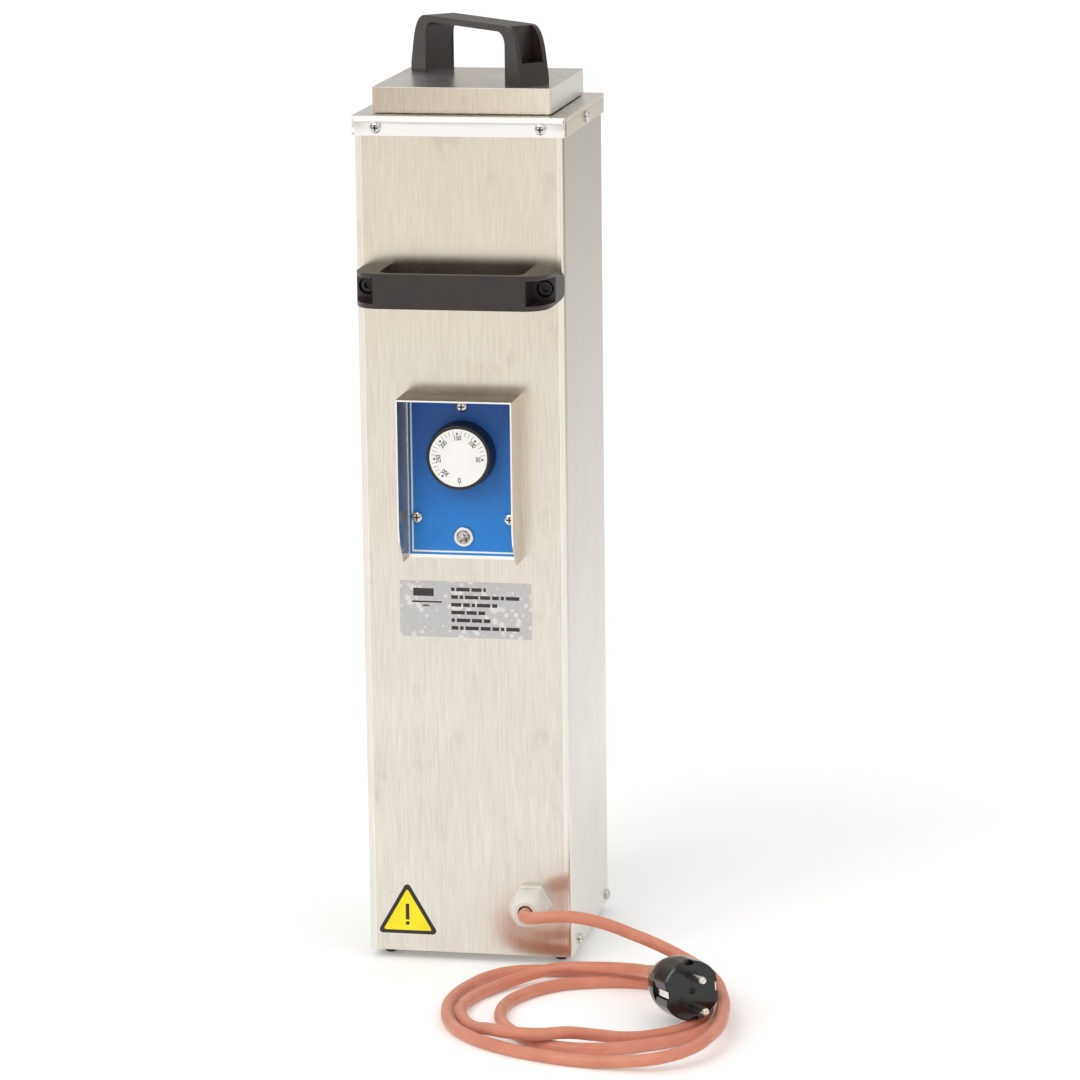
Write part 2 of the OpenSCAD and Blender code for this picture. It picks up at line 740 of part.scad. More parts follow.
wire_d = 2.4;
module live_wire() {
    route = [for (p = [[24, -16, 16], [24, -16, 20], [24, -16, 25], [30, -26, 28], [46, -40, 32],
        [50, -46, 60], [50, -50, 120], [50, -52, 240], [44, -50, 292], [28, -50, 305],
        [20.5, -50, 308]]) p + [0, axis_y, 0]];
    color("saddlebrown") tube_along(smooth_path(route, 3), wire_d, 8);
}

module neutral_wire() {
    route = [for (p = [[0, -16, 16], [0, -16, 20], [0, -16, 25], [-6, -22, 28], [-32, -39, 29.5],
        [-46, -44, 48], [-50, -50, 120], [-50, -52, 230], [-42, -54, 258], [-24, -55, 268],
        [-10, -51, 273], [-6.5, -46, 274.6]]) p + [0, axis_y, 0]];
    color("royalblue") tube_along(smooth_path(route, 3), wire_d, 8);
}

module earth_wire() {
    route = [for (p = [[33, -39, 27], [38, -34, 24.5], [46, -28, 23], [50, -22, 21.5], [49, -20, 20.2]]) p
        + [0, axis_y, 0]];
    color("yellowgreen") tube_along(smooth_path(route, 3), wire_d, 8);
}

// ---- Labels ----

module rating_label() {
    color("lightgray") on_front(0, label_z, half) {
        translate([-label_box[0] / 2, -label_box[1] / 2, 0]) cube([label_box[0], label_box[1], label_t]);
    }
}

module warning_label() {
    r_in = triangle_side / 2 / cos(30) - triangle_r;
    color("yellow") on_front(triangle_at[0], triangle_at[1], half) linear_extrude(label_t) hull() {
        for (a = [90, 210, 330]) {
            translate((r_in - triangle_r) * [cos(a), sin(a)]) circle(r = triangle_r, $fn = 32);
        }
    }
}

// ---- Power cord and plug ----

module power_cord() {
    route = [for (p = cord_route) p + [0, axis_y, 0]];
    color("salmon") tube_along(route, cord_d, 10);
}

// Plug frame: local +Z runs along the pins and local X through both pins.
module on_plug() translate(plug_at) rotate([0, 0, plug_turn[0]]) rotate([0, 90 - plug_turn[1], 0]) {
    rotate([0, 0, plug_turn[2]]) children();
}

module plug_body() {
    color([0.08, 0.08, 0.08]) on_plug() difference() {
        intersection() {
            rotate_extrude() polygon([[0, -plug_len], [7.5, -plug_len], [11, -plug_len + 2],
                [15, -plug_len + 8], [17.4, -plug_len + 16], [17.8, -18], [plug_r, -17],
                [plug_r, -1], [plug_r - 1, 0], [0, 0]]);
            union() {
                translate([-30, -plug_flat, -17.5]) cube([60, 2 * plug_flat, 20]);
                translate([0, 0, -plug_len - 1]) cylinder(r = 30, h = plug_len - 16.4);
            }
        }
        for (s = [-1, 1]) {
            translate([-3, s * plug_flat - 2.2, -16]) cube([6, 4.4, 30]);
            translate([s * 9.5, 0, -8]) cylinder(d = 4, h = 20);
            translate([s * 9.5, 0, -0.7]) cylinder(d = 8.4, h = 2);
            translate([s * (plug_r - 1) - 1.5, -2.6, -4.5]) cube([3, 5.2, 6]);
        }
        translate([0, 0, -9]) cylinder(d = 4.2, h = 20);
    }
}

module plug_pins() {
    color("silver") on_plug() for (s = [-1, 1]) translate([s * 9.5, 0, -8]) {
        rotate_extrude() polygon([[0, 0], [1.95, 0], [1.95, 8], [2.4, 8], [2.4, 25.4], [1.8, 27],
            [0.9, 27], [0, 26.2]]);
    }
}

module plug_earth_clips() {
    color("silver") on_plug() for (s = [-1, 1]) {
        translate([-2.2, s * (plug_flat - 1.3) - 0.4, -15.8]) cube([4.4, 0.8, 15.6]);
    }
}

module plug_screw() {
    color("silver") on_plug() translate([0, 0, -9]) difference() {
        cylinder(d = 4, h = 8.2);
        translate([-3, -0.4, 7.2]) cube([6, 0.8, 3]);
    }
}

casing();
back_panel();
back_panel_screws();
base_tray();
base_screws();
feet();
top_collar();
collar_screws();
chamber_tube();
chamber_floor();
insulation_front_lower();
insulation_front_upper();
insulation_back();
insulation_left();
insulation_right();
insulation_base();
heater_plates();
heater_straps();
heat_shield();
thermostat_body();
thermostat_screws();
capillary_tube();
thermostat_bulb();
bulb_clips();
control_guard();
control_plate();
panel_screws();
thermostat_shaft();
knob();
dial_disc();
lamp_housing();
lamp_lens();
lamp_nut();
front_handle();
front_handle_screws();
front_handle_nuts();
lid_pan();
lid_inner_pan();
lid_insulation();
lid_handle();
lid_handle_screws();
lid_handle_nuts();
gland_body();
gland_nut();
gland_seal();
gland_locknut();
cable_tail();
terminal_block();
earth_stud();
live_wire();
neutral_wire();
earth_wire();
rating_label();
warning_label();
power_cord();
plug_body();
plug_pins();
plug_earth_clips();
plug_screw();
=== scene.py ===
import json
import math
import bpy
from mathutils import Matrix, Vector


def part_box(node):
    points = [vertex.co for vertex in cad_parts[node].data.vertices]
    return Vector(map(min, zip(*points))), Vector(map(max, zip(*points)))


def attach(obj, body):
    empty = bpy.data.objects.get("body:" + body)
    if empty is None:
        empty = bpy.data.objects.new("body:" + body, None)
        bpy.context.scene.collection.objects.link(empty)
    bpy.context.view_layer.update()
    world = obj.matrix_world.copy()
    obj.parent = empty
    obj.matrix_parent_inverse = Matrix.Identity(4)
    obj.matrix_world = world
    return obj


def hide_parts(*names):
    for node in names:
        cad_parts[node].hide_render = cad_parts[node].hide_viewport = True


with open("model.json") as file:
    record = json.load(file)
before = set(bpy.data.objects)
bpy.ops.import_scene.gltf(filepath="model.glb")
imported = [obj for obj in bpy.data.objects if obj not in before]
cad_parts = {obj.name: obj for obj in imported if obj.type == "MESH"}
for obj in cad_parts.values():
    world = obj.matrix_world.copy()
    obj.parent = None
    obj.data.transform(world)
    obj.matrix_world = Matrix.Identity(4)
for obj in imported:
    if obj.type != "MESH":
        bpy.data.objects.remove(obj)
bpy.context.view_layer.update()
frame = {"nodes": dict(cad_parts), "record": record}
mm = 0.001
slotOf = {part["node"]: part["material_slot"] for part in frame["record"]["subparts"]}
bodyOf = {node: body for body, nodes in frame["record"]["behaviour"]["bodies"].items() for node in nodes}
casingLow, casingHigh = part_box("casing")
axisY = (casingLow.y + casingHigh.y) / 2  # the casing's axis stands a little behind the origin
print("frame loaded:", len(frame["nodes"]), "nodes")


def deselectAll():
    if bpy.context.object and bpy.context.object.mode != "OBJECT":
        bpy.ops.object.mode_set(mode="OBJECT")
    bpy.ops.object.select_all(action="DESELECT")


def activate(piece):
    deselectAll()
    piece.select_set(True)
    bpy.context.view_layer.objects.active = piece


def placeInMesh(piece):
    activate(piece)
    bpy.ops.object.transform_apply(location=True, rotation=True, scale=True)


def applyModifier(piece, kind, **settings):
    activate(piece)
    modifier = piece.modifiers.new(kind.lower(), kind)
    for name, value in settings.items():
        setattr(modifier, name, value)
    bpy.ops.object.modifier_apply(modifier=modifier.name)


def roundEdges(piece, width, segments):
    applyModifier(piece, "BEVEL", width=width, segments=segments, limit_method="ANGLE",
                  angle_limit=math.radians(32))


def smooth(piece):
    activate(piece)
    bpy.ops.object.shade_smooth_by_angle(angle=math.radians(38))
    applyModifier(piece, "WEIGHTED_NORMAL", keep_sharp=True)  # flat sheet stays flat beside its bends


def makeBox(low, high):
    deselectAll()
    bpy.ops.mesh.primitive_cube_add(size=1, location=(Vector(low) + Vector(high)) / 2,
                                    scale=Vector(high) - Vector(low))
    placeInMesh(bpy.context.object)
    return bpy.context.object


def cutAway(piece, cutter):
    applyModifier(piece, "BOOLEAN", object=cutter, operation="DIFFERENCE", solver="EXACT")
    bpy.data.objects.remove(cutter, do_unlink=True)


def settle(piece, body, material=None, nodes=()):
    # the piece joins a body, takes a finish and stands for its CAD nodes
    if material:
        piece.data.materials.clear()
        piece.data.materials.append(material)
    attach(piece, body)
    if nodes:
        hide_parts(*nodes)
    return piece


legRecess = {
    "border": 2.2 * mm,
    "depth": 1.2 * mm,
    "smallestFace": 400 * mm * mm,
}


def recessLegs(piece):
    # a shallow panel in the inner face of each leg of a bridge handle
    corners = [v.co for v in piece.data.vertices]
    middle = sum(corners, Vector()) / len(corners)

    def isInner(face):
        return face.area > legRecess["smallestFace"] and (face.center - middle).dot(face.normal) < 0

    bpy.context.tool_settings.mesh_select_mode = (False, False, True)
    activate(piece)
    bpy.ops.object.mode_set(mode="EDIT")
    bpy.ops.mesh.select_all(action="DESELECT")
    bpy.ops.object.mode_set(mode="OBJECT")
    along = max((p.normal.copy() for p in piece.data.polygons if isInner(p) and p.normal.x > 0.5),
                key=lambda n: n.x)
    for polygon in piece.data.polygons:
        polygon.select = isInner(polygon) and abs(polygon.normal.dot(along)) > 0.99
    bpy.ops.object.mode_set(mode="EDIT")
    bpy.ops.mesh.inset(thickness=legRecess["border"], depth=-legRecess["depth"], use_individual=True)
    bpy.ops.object.mode_set(mode="OBJECT")


rimSeam = {
    "down": 3.1 * mm,
    "height": 0.35 * mm,
    "depth": 0.3 * mm,
}


def grooveCollar(piece):
    # the folded rim's seam shows as a fine line round the collar
    low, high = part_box("top_collar")
    top = high.z - rimSeam["down"]
    out = Vector((rimSeam["depth"], rimSeam["depth"], 0))
    spare = Vector((0, 0, 1 * mm))
    low.z, high.z = top - rimSeam["height"], top
    ring = makeBox(low - out, high + out)
    low.z = top
    cutAway(ring, makeBox(low + out - spare, high - out + spare))
    cutAway(piece, ring)


shaping = {  # steps before and after the rounding
    "front_handle": (recessLegs, None),
    "lid_handle": (recessLegs, None),
    "top_collar": (None, grooveCollar),
}


def refine(node, name, width, segments=2):
    # a merged copy of a CAD node with its real edge rounding
    piece = bpy.data.objects.new(name, frame["nodes"][node].data.copy())
    bpy.context.scene.collection.objects.link(piece)
    activate(piece)
    bpy.ops.object.mode_set(mode="EDIT")
    bpy.ops.mesh.select_all(action="SELECT")
    bpy.ops.mesh.remove_doubles(threshold=0.000004)
    bpy.ops.mesh.dissolve_limited(angle_limit=math.radians(0.6))
    bpy.ops.object.mode_set(mode="OBJECT")
    before, after = shaping.get(node, (None, None))
    if before:
        before(piece)
    roundEdges(piece, width, segments)
    if after:
        after(piece)
    smooth(piece)
    finish = sheetFinishes.get(node) or finishes[slotOf[node]]
    settle(piece, bodyOf[node], finish, [node])
    for index, (test, other) in enumerate(faceFinishes.get(node, []), 1):
        piece.data.materials.append(other)
        for polygon in piece.data.polygons:
            if test(polygon.center, polygon.normal):
                polygon.material_index = index
    return piece


cameraSetup = {
    "azimuth": 10.935,
    "elevation": 12.269,
    "roll": -0.675,
    "distance": 2.8599,
    "target": (34.825 * mm, axisY, 259.014 * mm),
    "lens": 151.33,
}


def makeCamera(setup):
    azimuth, elevation = math.radians(setup["azimuth"]), math.radians(setup["elevation"])
    back = Vector((math.sin(azimuth) * math.cos(elevation), -math.cos(azimuth) * math.cos(elevation),
                   math.sin(elevation)))
    data = bpy.data.cameras.new("camera")
    data.lens = setup["lens"]
    data.sensor_width = 36
    data.clip_end = 60
    camera = bpy.data.objects.new("camera", data)
    bpy.context.scene.collection.objects.link(camera)
    turn = back.to_track_quat("Z", "Y").to_matrix() @ Matrix.Rotation(math.radians(setup["roll"]), 3, "Z")
    place = Vector(setup["target"]) + back * setup["distance"]
    camera.matrix_world = Matrix.Translation(place) @ turn.to_4x4()
    bpy.context.scene.camera = camera


makeCamera(cameraSetup)


def hexColour(code):
    def linear(c):
        return c / 12.92 if c <= 0.04045 else ((c + 0.055) / 1.055) ** 2.4
    return tuple(linear(int(code[i:i + 2], 16) / 255) for i in (1, 3, 5)) + (1.0,)


def addNode(tree, kind, inputs=None, **settings):
    node = tree.nodes.new("ShaderNode" + kind)
    for name, value in settings.items():
        setattr(node, name, value)
    for name, value in (inputs or {}).items():
        if isinstance(value, bpy.types.NodeSocket):
            tree.links.new(value, node.inputs[name])
        else:
            node.inputs[name].default_value = value
    return node


def newMaterial(name, **shaderValues):
    material = bpy.data.materials.new(name)
    material.use_nodes = True
    tree = material.node_tree
    shader = tree.nodes["Principled BSDF"]
    for key, value in shaderValues.items():
        shader.inputs[key.replace("_", " ")].default_value = value
    return material, tree, shader, addNode(tree, "TexCoord").outputs["Object"]


def ramp(tree, factor, stops):
    node = addNode(tree, "ValToRGB", {"Fac": factor})
    elements = node.color_ramp.elements
    while len(elements) < len(stops):
        elements.new(0.5)
    for element, (place, colour) in zip(elements, stops):
        element.position = place
        element.color = hexColour(colour) if isinstance(colour, str) else (colour, colour, colour, 1)
    return node.outputs["Color"]


def grainNoise(tree, coords, size, detail=5.0):
    # size is the grain's length along X, Y and Z in mm
    stretched = addNode(tree, "Mapping", {"Vector": coords, "Scale": [1 / (s * mm) for s in size]})
    return addNode(tree, "TexNoise", {"Vector": stretched.outputs["Vector"], "Scale": 1.0, "Detail": detail,
                                      "Roughness": 0.55}).outputs["Fac"]


def sumOf(tree, a, b, scale=1.0):
    return addNode(tree, "Math", {0: b, 1: scale, 2: a}, operation="MULTIPLY_ADD").outputs["Value"]


def mixInto(tree, mask, colour, other, **settings):
    inputs = {"Fac": mask, "Color1": colour, "Color2": hexColour(other)}
    return addNode(tree, "MixRGB", inputs, **settings).outputs[0]


def setBump(tree, shader, height, depth):
    bump = addNode(tree, "Bump", {"Height": height, "Distance": depth * mm})
    tree.links.new(bump.outputs["Normal"], shader.inputs["Normal"])


def fadeAlong(tree, coords, colour, axis, start, end, tint):
    # painted shade: darkens a colour step by step along one axis
    place = addNode(tree, "SeparateXYZ", {"Vector": coords}).outputs[axis]
    amount = addNode(tree, "MapRange", {"Value": place, "From Min": start, "From Max": end}).outputs[0]
    return mixInto(tree, amount, colour, tint, blend_type="MULTIPLY")


def brushedSheet(name, colours, grain, rough, stains=0.0, depth=0.02, paintedShade=None,
                 bendHighlight=None, metal=1.0):
    # rolled stainless sheet, brushed in one direction: fine streaks that blur what it mirrors
    material, tree, shader, coords = newMaterial(name, Metallic=metal, Anisotropic=0.35)
    streaks = grainNoise(tree, coords, grain, 6.0)  # drawn a little coarser than the real brushing, to show
    cloud = grainNoise(tree, coords, (60, 60, 90), 3.0)
    mixed = sumOf(tree, streaks, cloud, 0.5)
    colour = ramp(tree, mixed, [(0.45, colours[0]), (1.05, colours[1])])
    if stains:
        spots = grainNoise(tree, coords, (22, 22, 34), 4.0)
        mask = ramp(tree, spots, [(0.60, 0.0), (0.78, stains)])
        colour = mixInto(tree, mask, colour, "#a59684")
    # painted shade: the colour darkens along one axis
    if paintedShade:
        colour = fadeAlong(tree, coords, colour, *paintedShade)
    if bendHighlight:
        # a painted highlight beside each front bend: a bright line where the bend starts and a paler strip
        # outside it, standing in for the bend's reflection
        place = addNode(tree, "SeparateXYZ", {"Vector": coords}).outputs["X"]
        aside = addNode(tree, "Math", {0: place}, operation="ABSOLUTE").outputs[0]
        strip = ramp(tree, addNode(tree, "MapRange", {"Value": aside, "From Min": bendHighlight - 0.5 * mm,
                                                      "From Max": bendHighlight + 0.5 * mm}).outputs[0],
                     [(0.0, 0.0), (0.3, 0.0), (0.4, 0.75), (0.6, 0.75), (0.7, 0.3)])
        colour = mixInto(tree, strip, colour, "#fffdf8")
    tree.links.new(colour, shader.inputs["Base Color"])
    tree.links.new(ramp(tree, mixed, [(0.4, rough[0]), (1.1, rough[1])]), shader.inputs["Roughness"])
    setBump(tree, shader, streaks, depth)
    return material


def mouldedPlastic(name, colours, rough, texture, depth, ior=1.5, **more):
    # injection moulded plastic: a fine spark-eroded texture with a faint cloudiness
    material, tree, shader, coords = newMaterial(name, IOR=ior, **more)
    fine = grainNoise(tree, coords, (texture,) * 3, 3.0)
    cloud = grainNoise(tree, coords, (14, 14, 14), 4.0)
    tree.links.new(ramp(tree, cloud, [(0.3, colours[0]), (0.7, colours[1])]), shader.inputs["Base Color"])
    tree.links.new(ramp(tree, sumOf(tree, cloud, fine, 0.4), [(0.4, rough[0]), (1.0, rough[1])]),
                   shader.inputs["Roughness"])
    setBump(tree, shader, fine, depth)
    return material


finishes = {
    # cold rolled 304 sheet: fine upright streaks, with faint finger marks, and painted shade: a little darker
    # and warmer towards the top
    "brushed_stainless": brushedSheet("brushedStainlessSheet", ("#d2ccc3", "#e9e4db"), (0.9, 0.9, 18),
                                      (0.19, 0.25), 0.3, depth=0.008, paintedShade=("Z", 0.15, 0.45, "#fcf8f0")),
    # the same sheet with a duller finish, for the liner and the small brackets
    "satin_stainless": brushedSheet("satinStainlessSheet", ("#d2cbc0", "#e2ddd3"), (1.2, 1.2, 30),
                                    (0.26, 0.36)),
    # zinc plated steel: bright and slightly blue, with fine speckle
    "zinc_screw": brushedSheet("zincPlatedSteel", ("#b4b4b2", "#ecebe8"), (1.1, 1.1, 1.1), (0.07, 0.18),
                               depth=0.012),
    # nickel plate and metallised plastic: smooth and mirror-like, with a faint haze
    "nickel_plate": brushedSheet("nickelPlatedBrass", ("#cfccc4", "#efede8"), (0.7, 0.7, 0.7), (0.08, 0.18),
                                 depth=0.004),
    "chrome_bezel": brushedSheet("metallisedPlasticBezel", ("#cfcdc8", "#f0eeea"), (1.5, 1.5, 1.5),
                                 (0.16, 0.28), depth=0.006),
    # drawn copper and turned brass: warm, with the fine lines of the tool
    "copper": brushedSheet("drawnCopperTube", ("#a8623f", "#cf8a63"), (1.0, 1.0, 6), (0.25, 0.42),
                           depth=0.01),
    "brass": brushedSheet("turnedBrass", ("#b99a4e", "#d8bd72"), (0.6, 0.6, 0.6), (0.2, 0.32), depth=0.006),
    # glass filled nylon for the handles: dark brown-grey, matte, finely pitted
    "brown_phenolic": mouldedPlastic("glassFilledNylonHandle", ("#211815", "#2d221e"), (0.28, 0.4), 0.5,
                                     0.06, ior=1.56),
    # phenolic knob: nearly black with a soft polish
    "black_phenolic": mouldedPlastic("phenolicKnob", ("#171514", "#221f1d"), (0.28, 0.42), 0.7, 0.02),
    # polished polyamide plug: black with clear highlights
    "black_gloss_plastic": mouldedPlastic("polishedPolyamidePlug", ("#0b0b0b", "#151414"), (0.10, 0.2), 1.2,
                                          0.008, ior=1.55),
    # unpigmented nylon gland: milky, lit a little from inside
    "white_nylon": mouldedPlastic("naturalNylonGland", ("#d6d3cb", "#e8e5de"), (0.34, 0.5), 0.6, 0.03,
                                  Subsurface_Weight=0.1, Subsurface_Scale=0.002),
    # rubber feet and oxide-blackened screws: black, the rubber softer
    "black_rubber": mouldedPlastic("mouldedRubberFoot", ("#0c0c0c", "#181818"), (0.25, 0.4), 0.8, 0.02),
    "black_steel": mouldedPlastic("blackOxideSteel", ("#141414", "#232120"), (0.3, 0.45), 0.4, 0.01),
    # silicone rubber sheath: salmon, satin, a little translucent
    "salmon_silicone": mouldedPlastic("siliconeRubberSheath", ("#cc8166", "#d89075"), (0.34, 0.46), 0.9, 0.02,
                                      ior=1.41, Subsurface_Weight=0.12, Subsurface_Scale=0.003,
                                      Sheen_Weight=0.12, Sheen_Roughness=0.4),
    # sleeves, ceramic and mica inside: matte, each in its trade colour
    "brown_sleeve": mouldedPlastic("brownSiliconeSleeve", ("#4a2a18", "#5d3722"), (0.4, 0.55), 0.6, 0.02),
    "blue_sleeve": mouldedPlastic("blueSiliconeSleeve", ("#20479c", "#2c58b4"), (0.4, 0.55), 0.6, 0.02),
    "green_sleeve": mouldedPlastic("greenYellowSleeve", ("#6f9a2c", "#93b437"), (0.4, 0.55), 0.6, 0.02),
    "white_ceramic": mouldedPlastic("unglazedSteatite", ("#dedad0", "#efebe2"), (0.5, 0.7), 0.3, 0.03),
    "mica": mouldedPlastic("laminatedMica", ("#8d7a55", "#b09c72"), (0.35, 0.6), 2.0, 0.05),
    # pressed mineral wool: tangled yellow-green fibre, very matte
    "mineral_wool": mouldedPlastic("pressedMineralWool", ("#a59a62", "#c9bf8c"), (0.85, 0.98), 1.4, 0.5),
}
sheetFinishes = {  # folded parts whose sheet has a look of its own
    # the casing's sheet, with painted shade towards the top and a painted highlight beside each front bend
    "casing": brushedSheet("brushedCasingSheet", ("#d2ccc3", "#e9e4db"), (0.9, 0.9, 18), (0.19, 0.25), 0.3,
                           depth=0.008, paintedShade=("Z", 0.15, 0.45, "#fcf8f0"), bendHighlight=60.7 * mm),
    # painted light: the collar's sheet is painted nearly white, the palest metal on the oven, standing in for
    # the bright light it mirrors
    "top_collar": brushedSheet("litCollarSheet", ("#fcfaf6", "#fffefb"), (40, 40, 1.2), (0.26, 0.30),
                               depth=0.004),
    # the lid's sheet is duller and warmer, with clear upright grain, and painted shade: darker towards its left
    # end, standing in for the handle's dark reflection
    "lid_pan": brushedSheet("brushedLidSheet", ("#d9cdba", "#f5ebdc"), (0.8, 0.8, 14), (0.22, 0.3), 0.25,
                            depth=0.012, paintedShade=("X", 0.055, -0.055, "#d9d5d1")),
    "control_guard": brushedSheet("brushedGuardSheet", ("#d0c7b9", "#e0d8cc"), (0.7, 30, 30), (0.25, 0.34)),
}


def inRecess(node):
    # the cross recess of front-facing screws: its floor and its walls
    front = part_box(node)[0].y

    def isInside(centre, normal):
        depth = centre.y - front
        onFloor = normal.y < -0.9 and 0.8 * mm < depth < 2 * mm
        onWall = abs(normal.y) < 0.15 and depth < 1.35 * mm
        return onFloor or onWall

    return isInside


# painted shade: the screws' cross recesses are painted nearly black, standing in for the shade inside them
recessShade = mouldedPlastic("shadedRecess", ("#2a2723", "#45403b"), (0.4, 0.6), 0.5, 0.02)
faceFinishes = {  # faces of a folded part that look different, most of them painted light and shade: their place and facing, and their finish
    "casing": [
        # painted shade: the casing's right side is the same sheet, a little rougher and painted darker towards
        # the top
        (lambda c, n: n.x > 0.5 and c.x > 0.06,
         brushedSheet("dullShadedSideSheet", ("#d6d2ca", "#eeeae3"), (0.9, 0.9, 18), (0.26, 0.34), 0.2,
                      depth=0.01, paintedShade=("Z", 0.12, 0.54, "#b0aca4"))),
    ],
    "collar_screws": [(inRecess("collar_screws"), recessShade)],
    "panel_screws": [(inRecess("panel_screws"), recessShade)],
    "top_collar": [
        # painted shade: the collar's right side is the same sheet, a little rougher and painted darker
        (lambda c, n: n.x > 0.5,
         brushedSheet("dullShadedCollarSide", ("#b7afa0", "#c3bbac"), (40, 40, 1.2), (0.30, 0.36), depth=0.004)),
    ],
    "lid_pan": [
        # painted shade: the lid's right side is the same sheet painted greyer and darker
        (lambda c, n: n.x > 0.5,
         brushedSheet("shadedLidSide", ("#c2beb8", "#cdc9c3"), (1.5, 30, 1.5), (0.28, 0.36))),
        # painted light: the lid's top is the same sheet painted near white, standing in for the light it
        # mirrors
        (lambda c, n: n.z > 0.9,
         brushedSheet("litLidTop", ("#f1efec", "#ffffff"), (30, 0.4, 30), (0.2, 0.3))),
        # painted highlight: the lid's rounded top front edge is painted white and made partly diffuse
        (lambda c, n: n.z > 0.2 and n.y < -0.2,
         brushedSheet("highlightedLidEdge", ("#fbfaf7", "#ffffff"), (2, 2, 2), (0.3, 0.4), metal=0.3)),
    ],
    "control_guard": [
        # painted shade: the guard's top is the same sheet painted dark grey, standing in for the dark it
        # mirrors
        (lambda c, n: n.z > 0.9,
         brushedSheet("shadedGuardTop", ("#4f4741", "#a0968b"), (20, 0.5, 20), (0.22, 0.36), depth=0.03)),
        # painted shade: the inner face of the guard's left flange is the same sheet painted darker grey
        (lambda c, n: n.x > 0.9 and c.x < -0.02,
         brushedSheet("shadedGuardCheek", ("#a39b92", "#bfb8b0"), (0.6, 0.6, 25), (0.26, 0.36), depth=0.03)),
        # painted highlight: the guard's front-facing cut edges are painted near white
        (lambda c, n: n.y < -0.9,
         brushedSheet("highlightedCutEdge", ("#f2eee6", "#fcfaf6"), (0.8, 0.8, 0.8), (0.2, 0.3))),
    ],
}


borderLine = {
    "inset": 1.5 * mm,
    "width": 1.05 * mm,
}


def printedBluePlate():
    # anodised aluminium plate printed satin blue, with a thin white border line
    material, tree, shader, coords = newMaterial("screenPrintedAluminiumPlate", IOR=1.5, Coat_Weight=0.1,
                                                 Coat_Roughness=0.3)
    low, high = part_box("control_plate")
    centre = (low + high) / 2
    axes = addNode(tree, "SeparateXYZ", {"Vector": coords}).outputs
    edges = []
    for axis, middle, half in (("X", centre.x, (high.x - low.x) / 2), ("Z", centre.z, (high.z - low.z) / 2)):
        offset = addNode(tree, "Math", {0: axes[axis], 1: middle}, operation="SUBTRACT").outputs[0]
        distance = addNode(tree, "Math", {0: offset}, operation="ABSOLUTE").outputs[0]
        edges.append(addNode(tree, "Math", {0: half, 1: distance}, operation="SUBTRACT").outputs[0])
    nearest = addNode(tree, "Math", {0: edges[0], 1: edges[1]}, operation="MINIMUM").outputs[0]
    middle = borderLine["inset"] + borderLine["width"] / 2
    away = addNode(tree, "Math", {0: nearest, 1: middle}, operation="SUBTRACT").outputs[0]
    offLine = addNode(tree, "Math", {0: away}, operation="ABSOLUTE").outputs[0]
    lineMask = addNode(tree, "Math", {0: offLine, 1: borderLine["width"] / 2}, operation="LESS_THAN").outputs[0]
    cloud = grainNoise(tree, coords, (9, 9, 9), 4.0)
    blue = ramp(tree, cloud, [(0.3, "#0d78cc"), (0.7, "#1380d4")])
    # painted shade: the blue darkens towards the top, standing in for the guard's shade over it
    blue = fadeAlong(tree, coords, blue, "Z", low.z + 20 * mm, high.z + 10 * mm, "#7f9ccc")
    colour = mixInto(tree, lineMask, blue, "#eef0f2")
    tree.links.new(colour, shader.inputs["Base Color"])
    fine = grainNoise(tree, coords, (0.8, 0.8, 0.8), 2.0)
    tree.links.new(ramp(tree, fine, [(0.3, 0.42), (0.7, 0.52)]), shader.inputs["Roughness"])
    setBump(tree, shader, fine, 0.01)
    return material


def metalFoilLabel():
    # grey foil label: flat grey print with pale worn blotches
    material, tree, shader, coords = newMaterial("printedFoilLabel", IOR=1.5, Metallic=0.15)
    blotches = addNode(tree, "TexVoronoi", {"Vector": coords, "Scale": 210.0, "Randomness": 1.0})
    clusters = grainNoise(tree, coords, (11, 11, 9), 2.0)
    spots = ramp(tree, sumOf(tree, clusters, blotches.outputs["Distance"], -0.75), [(0.24, 0.0), (0.34, 0.7)])
    grey = ramp(tree, grainNoise(tree, coords, (2, 2, 2)), [(0.3, "#bbbab9"), (0.7, "#c4c3c2")])
    colour = mixInto(tree, spots, grey, "#e6e4e0")
    tree.links.new(colour, shader.inputs["Base Color"])
    tree.links.new(ramp(tree, spots, [(0.0, 0.45), (1.0, 0.6)]), shader.inputs["Roughness"])
    setBump(tree, shader, blotches.outputs["Distance"], 0.01)
    return material


def prismaticLens():
    # clear acrylic over the neon lamp: its moulded prisms, with painted glints: the facets are painted in
    # bright and dark greys, standing in for what they reflect and refract
    material, tree, shader, coords = newMaterial("clearAcrylicLens", IOR=1.49, Transmission_Weight=0.25)
    prisms = addNode(tree, "TexVoronoi", {"Vector": coords, "Scale": 560.0, "Randomness": 0.9})
    shade = addNode(tree, "SeparateColor", {"Color": prisms.outputs["Color"]}).outputs["Red"]
    colour = ramp(tree, shade, [(0.1, "#6b645b"), (0.5, "#a9a196"), (0.9, "#f4f1ea")])
    tree.links.new(colour, shader.inputs["Base Color"])
    tree.links.new(ramp(tree, shade, [(0.0, 0.06), (1.0, 0.16)]), shader.inputs["Roughness"])
    setBump(tree, shader, prisms.outputs["Distance"], 0.3)
    return material


finishes["blue_aluminium"] = printedBluePlate()
finishes["grey_label"] = metalFoilLabel()
# gloss vinyl in signal yellow, and the dark print on it
finishes["yellow_label"] = mouldedPlastic("signalYellowVinyl", ("#efdc00", "#fbe90e"), (0.3, 0.4), 1.0, 0.01)
darkPrint = mouldedPlastic("darkScreenInk", ("#241c16", "#32281f"), (0.4, 0.55), 0.8, 0.005)
greyPrint = mouldedPlastic("greyScreenInk", ("#2b2927", "#373432"), (0.5, 0.6), 0.8, 0.005)
